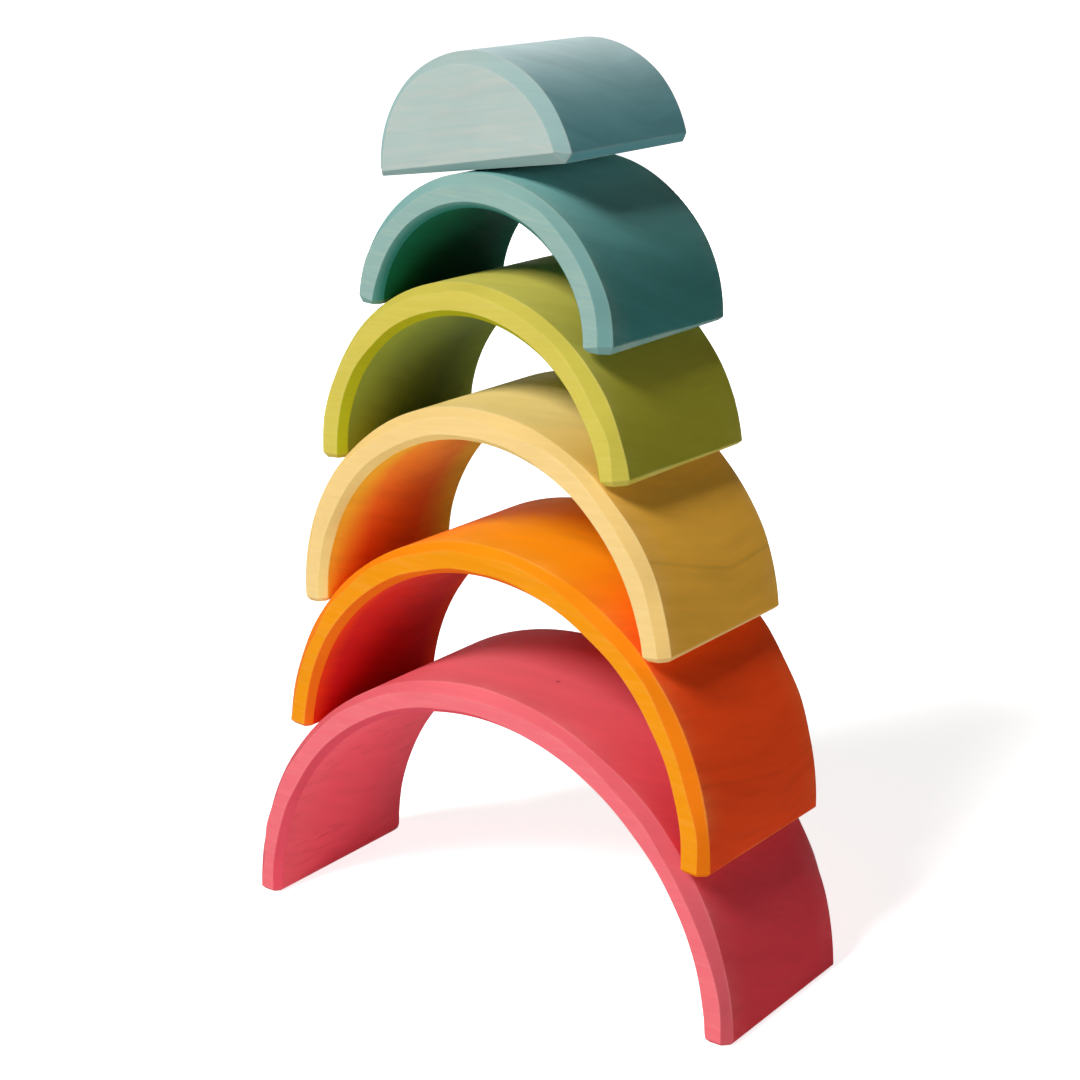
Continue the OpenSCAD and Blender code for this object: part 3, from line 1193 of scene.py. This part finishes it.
@dataclass(frozen=True)
class Lamp:
    """A soft rectangular lamp that points at the stack, in metres and watts."""

    name: str
    direction: Triple
    distance: float
    size: Pair
    power: float

    def hang(self, target: Triple) -> bpy.types.Object:
        """Puts up the lamp.

        Args:
            target: The point that it is turned to, from which its direction and distance count.

        Returns:
            The lamp.
        """
        data = bpy.data.lights.new(self.name, "AREA")
        data.shape = "RECTANGLE"
        data.size, data.size_y = self.size
        data.energy = self.power
        lamp = bpy.data.objects.new(self.name, data)
        away = Vector(self.direction).normalized()
        lamp.matrix_world = (Matrix.Translation(Vector(target) + away * self.distance)
                             @ away.to_track_quat("Z", "Y").to_matrix().to_4x4())
        bpy.context.scene.collection.objects.link(lamp)
        return lamp


@dataclass(frozen=True)
class Studio:
    """Pale table top, a soft lamp up in front, two weak low ones, and the picture's camera, in metres."""

    floor_half: float = 14.0
    floor_colour: str = "#f6f5f3"
    floor_lift: Pair = (0.82, 1.0)
    lift_reach: Pair = (0.35, 1.0)
    ambient: float = 0.012
    lamps: tuple[Lamp, ...] = (
        Lamp("softbox", (-0.125, -0.708, 0.695), 4.0, (1.12, 1.12), 154.0),
        Lamp("fill", (0.75, -0.65, -0.13), 0.75, (0.7, 0.06), 0.8),
        Lamp("rear", (-0.3, 0.95, 0.0), 1.5, (1.0, 0.2), 8.0),
    )
    target: Triple = (0.0, 0.0, 0.13)
    camera_place: Triple = (0.35867, -0.48749, 0.30372)
    azimuth: float = 36.304
    elevation: float = 17.019
    roll: float = -0.367
    focal_px: float = 2246.6
    image_px: float = 1080.0
    sensor_mm: float = 36.0
    clip: Pair = (0.01, 50.0)

    WHITE = (1.0, 1.0, 1.0, 1.0)

    def _seen(self, tree: bpy.types.NodeTree) -> Wire:
        """Tells the rays that see the background from those that carry its light.

        Args:
            tree: The tree of the floor's material or of the world.

        Returns:
            One for a ray that sees the background.
        """
        path = add(tree, "ShaderNodeLightPath").node.outputs
        seen = add(tree, MATH, [path["Is Camera Ray"], path["Is Glossy Ray"]], operation="MAXIMUM")
        return add(tree, MATH, [seen, path["Is Transmission Ray"]], operation="MAXIMUM")

    def floor(self) -> bpy.types.Object:
        """Lays the table top, which keeps the shadow and looks white to the camera.

        Returns:
            The floor.
        """
        half = self.floor_half
        data = bpy.data.meshes.new("table_top")
        corners = [(-half, -half, 0.0), (half, -half, 0.0), (half, half, 0.0), (-half, half, 0.0)]
        data.from_pydata(corners, [], [range(len(corners))])
        floor = bpy.data.objects.new("table_top", data)
        bpy.context.scene.collection.objects.link(floor)
        # White laminate, smooth and matt: it shows a soft shadow and no mirror image
        material = bpy.data.materials.new("white_laminate")
        material.use_nodes = True
        t = material.node_tree
        t.nodes.clear()
        matt = add(t, "ShaderNodeBsdfDiffuse", {"Color": linear(self.floor_colour)})
        # The lamp's light fades with distance, and the lift to white makes up for it
        away = add(t, VECTOR, [add(t, "ShaderNodeTexCoord", out="Object")], "Value", operation="LENGTH")
        lift = add(t, "ShaderNodeMapRange", [away, *self.lift_reach, *self.floor_lift])
        glow = add(t, MATH, [self._seen(t), lift], operation="MULTIPLY")
        white = add(t, "ShaderNodeEmission", {"Strength": glow})
        add(t, "ShaderNodeOutputMaterial", {"Surface": add(t, "ShaderNodeAddShader", [matt, white])})
        data.materials.append(material)
        return floor

    def world(self) -> bpy.types.World:
        """Sets the even light of the room, with white behind it for the camera.

        Returns:
            The world.
        """
        world = bpy.data.worlds.new("white_room")
        world.use_nodes = True
        t = world.node_tree
        t.nodes.clear()
        room = add(t, "ShaderNodeBackground", {"Color": self.WHITE, "Strength": self.ambient})
        white = add(t, "ShaderNodeBackground", {"Color": self.WHITE, "Strength": 1.0})
        add(t, "ShaderNodeOutputWorld", [add(t, "ShaderNodeMixShader", [self._seen(t), room, white])])
        bpy.context.scene.world = world
        return world

    def camera(self) -> bpy.types.Object:
        """Sets the camera at the picture's place and angle.

        Returns:
            The camera.
        """
        data = bpy.data.cameras.new("picture")
        data.sensor_width = self.sensor_mm
        data.lens = data.sensor_width * self.focal_px / self.image_px
        data.clip_start, data.clip_end = self.clip
        az, el, roll = (math.radians(v) for v in (self.azimuth, self.elevation, self.roll))
        back = Vector((math.sin(az) * math.cos(el), -math.cos(az) * math.cos(el), math.sin(el)))
        right = Vector((math.cos(az), math.sin(az), 0.0))
        up = back.cross(right)
        turned_right = math.cos(roll) * right + math.sin(roll) * up
        turned_up = -math.sin(roll) * right + math.cos(roll) * up
        axes = Matrix((turned_right, turned_up, back)).transposed().to_4x4()
        camera = bpy.data.objects.new("picture", data)
        camera.matrix_world = Matrix.Translation(self.camera_place) @ axes
        bpy.context.scene.collection.objects.link(camera)
        bpy.context.scene.camera = camera
        return camera

    def build(self) -> None:
        """Sets up the floor, the room's light, the lamps and the camera."""
        self.floor()
        self.world()
        for lamp in self.lamps:
            lamp.hang(self.target)
            LOG.info("%s lamp at %.2f m", lamp.name, lamp.distance)
        self.camera()


STAINS = (
    # Even and warm, with a rough inside where the saw tore the fibres, and one pin knot on the crown
    LimeStain("lime_pink_stain", face="#e86d76", rim="#d05862", curve="#df666f", deep="#e73c49",
              inside="#ff6474", inside_lit_rim="#ff6c7a", inner_rim="#ec586a", bare="#f7b9b4", seed=0.7,
              spot=(14.0, -8.0, 82.0), torn_contrast=0.2, band_contrast=0.25),
    # Turns from orange on the crown to red on the cut fibre ends and inside, with a faint growth line
    LimeStain("lime_orange_stain", face="#e9910e", rim="#f07a0e", curve="#ee960f", deep="#ff4f1b",
              inside="#e83438", inside_lit_rim="#ff5628", inner_rim="#ff7e1a", bare="#fbc878", seed=1.9,
              line_height=19.0, line_contrast=0.1, layer_slope=0.2, back_slope=0.15, level_from=11.0,
              levelling=3.0, soak_reach=(0.2, 0.8), band_contrast=0.4, inside_shade_reach=(18.0, 29.0)),
    # So thin that it looks like bare wood on the faces, and amber on the ends, with a faint growth line. Its
    # inside is redder than the stain, which is painted light reflected from the orange arch below
    LimeStain("lime_yellow_stain", face="#eac883", rim="#f3cb7c", curve="#ffde8e", deep="#faba44",
              inside="#ff9646", inside_lit_rim="#ffdc46", inner_rim="#fce896", bare="#fdeec4", seed=3.1,
              line_height=18.5, line_contrast=0.11, layer_slope=0.3, back_slope=0.08, level_from=6.5,
              levelling=3.0, soak_reach=(0.2, 0.85), band_contrast=0.35),
    # Yellow-green on the faces and olive on the ends
    LimeStain("lime_green_stain", face="#cbbc51", rim="#cdc04e", curve="#e0d462", deep="#9e9a28",
              inside="#829650", inside_lit_rim="#95a849", inner_rim="#b5b61d", bare="#f0e6a0", seed=4.3,
              band_contrast=0.25),
    # Greyed and streaky on the faces, where wood shows through, and dark in the hollow
    LimeStain("lime_teal_stain", face="#8baca5", rim="#78a7a3", curve="#82bab6", deep="#327673",
              inside="#1c604c", inside_lit_rim="#136550", inner_rim="#438e8c", bare="#d2ceb4", seed=5.9,
              bare_share=0.16, inner_spread=(0.65, 0.3)),
    # The thinnest wash, with pinkish wood showing through the face
    LimeStain("lime_light_blue_stain", face="#a8bab5", rim="#98b9b7", curve="#dcf4f4", deep="#54969c",
              inside="#aab7b2", inside_lit_rim="#aab7b2", inner_rim="#aab7b2", bare="#dec6b8", seed=7.3,
              bare_share=0.2),
)
# Height of the outer foot bevels in front and behind, as a share of the nominal bevel
EVEN_RISE = (1.0, 1.0)
FOOT_RISE = {Place.YELLOW: (1.2, 0.85), Place.GREEN: (1.35, 0.75), Place.TEAL: (1.8, 0.9)}
ARCH_SEED = 3.0
CORE_SEED = 5


def main() -> None:
    """Builds the stack from the ground up, then the studio."""
    logging.basicConfig(level=logging.INFO, format="%(name)s: %(message)s")
    bpy.context.scene.view_settings.view_transform = "Standard"
    seats = STACK.seats()
    tree = ArchTree()
    for place, finish in zip(Place, STAINS):
        colour = place.name.lower()
        arch = Arch(f"{colour}_arch", f"{colour}_arch", f"{colour}_stain", place, finish, ARCH_SEED + place,
                    FOOT_RISE.get(place, EVEN_RISE))
        report(arch.build(STACK, tree, seats[place]), arch.node)
    block = CoreBlock("blue_half_round", "core_block", "blue_stain", STAINS[-1], CORE_SEED)
    report(block.build(STACK, seats[-1]), block.node)
    Studio().build()


if __name__ == "__main__":
    main()
